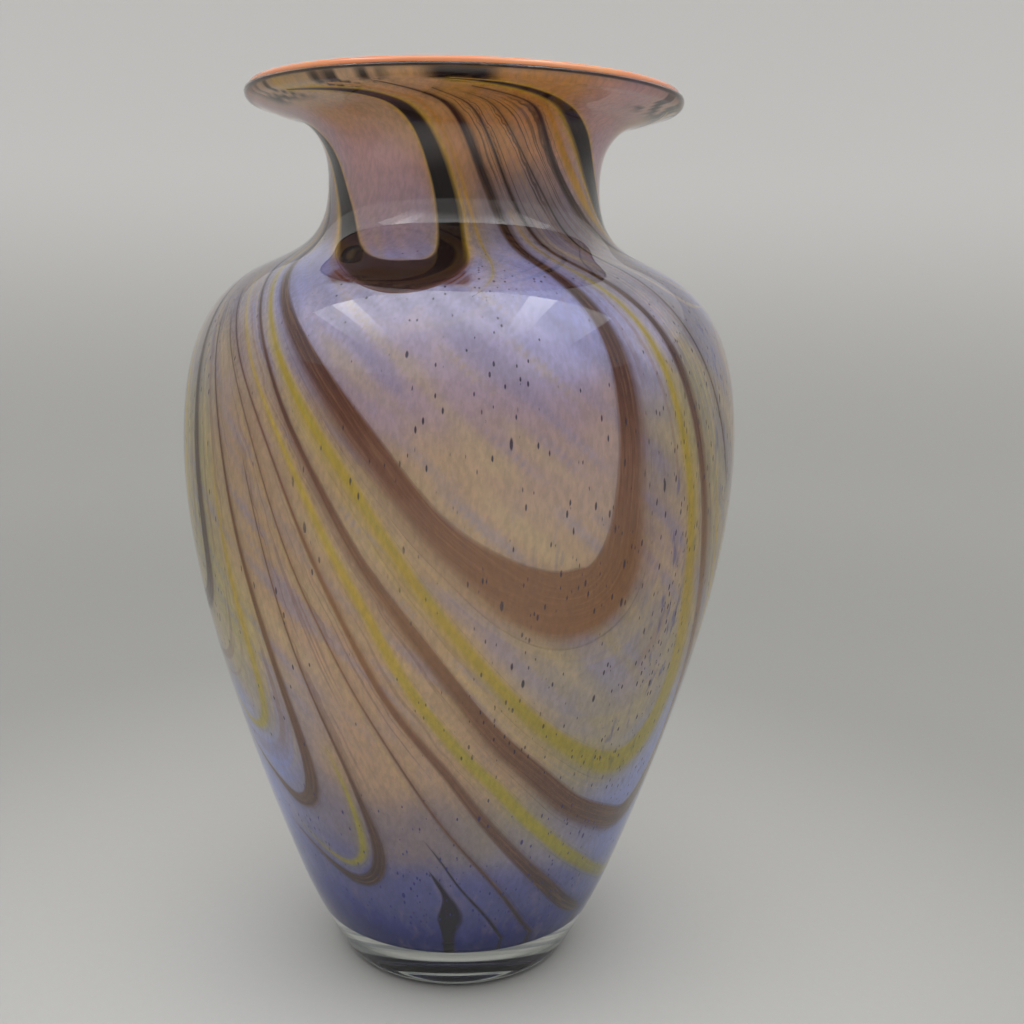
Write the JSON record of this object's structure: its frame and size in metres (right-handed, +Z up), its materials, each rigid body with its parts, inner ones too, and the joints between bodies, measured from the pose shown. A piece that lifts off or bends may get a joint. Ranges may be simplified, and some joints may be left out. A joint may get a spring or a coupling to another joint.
{
  "type": "blown glass vase",
  "caption": "Shouldered blown glass vase with a flared lip, clear casing over coloured swirls and a thick clear foot.",
  "frame": {"origin": "centre of the foot's resting ring, on the surface the vase stands on", "axes": "+Z up the axis of the vase; -Y is the front, where the large brown festoon hangs; +X is to the right seen from the front"},
  "size_m": [0.1998, 0.1998, 0.32],
  "materials": {
    "clear_glass": "fire-polished clear",
    "orange_glass": "fire-polished opaque orange",
    "opal_glass": "smooth opal",
    "frit_glass": "melted mixed frit, mottled",
    "aubergine_glass": "dense dark aubergine",
    "brown_glass": "milky brown to maroon",
    "yellow_glass": "translucent green-yellow"
  },
  "bodies": {
    "root": {"back_left_drop_brown": "brown_glass", "back_left_hook_brown": "brown_glass", "back_lower_festoon_brown": "brown_glass", "back_lower_sweep_brown": "brown_glass", "back_lower_sweep_yellow": "yellow_glass", "clear_casing": "clear_glass", "colour_frit_layer": "frit_glass", "front_base_knot_aubergine": "aubergine_glass", "front_base_thread_aubergine": "aubergine_glass", "front_body_festoon_brown": "brown_glass", "front_body_festoon_yellow": "yellow_glass", "front_fine_sweep_brown": "brown_glass", "front_lower_sweep_brown": "brown_glass", "front_neck_halo_yellow": "yellow_glass", "front_neck_swag_aubergine": "aubergine_glass", "front_outer_festoon_brown": "brown_glass", "front_outer_festoon_yellow": "yellow_glass", "left_drop_brown": "brown_glass", "left_drop_yellow": "yellow_glass", "left_festoon_brown": "brown_glass", "left_festoon_yellow": "yellow_glass", "left_hook_brown": "brown_glass", "left_hook_yellow": "yellow_glass", "left_neck_swag_aubergine": "aubergine_glass", "opal_ground": "opal_glass", "orange_lining": "orange_glass", "orange_lip_wrap": "orange_glass", "right_body_festoon_brown": "brown_glass", "right_fine_thread_brown": "brown_glass", "right_lower_festoon_yellow": "yellow_glass", "right_neck_halo_yellow": "yellow_glass", "right_neck_swag_aubergine": "aubergine_glass"}
  },
  "joints": []
}
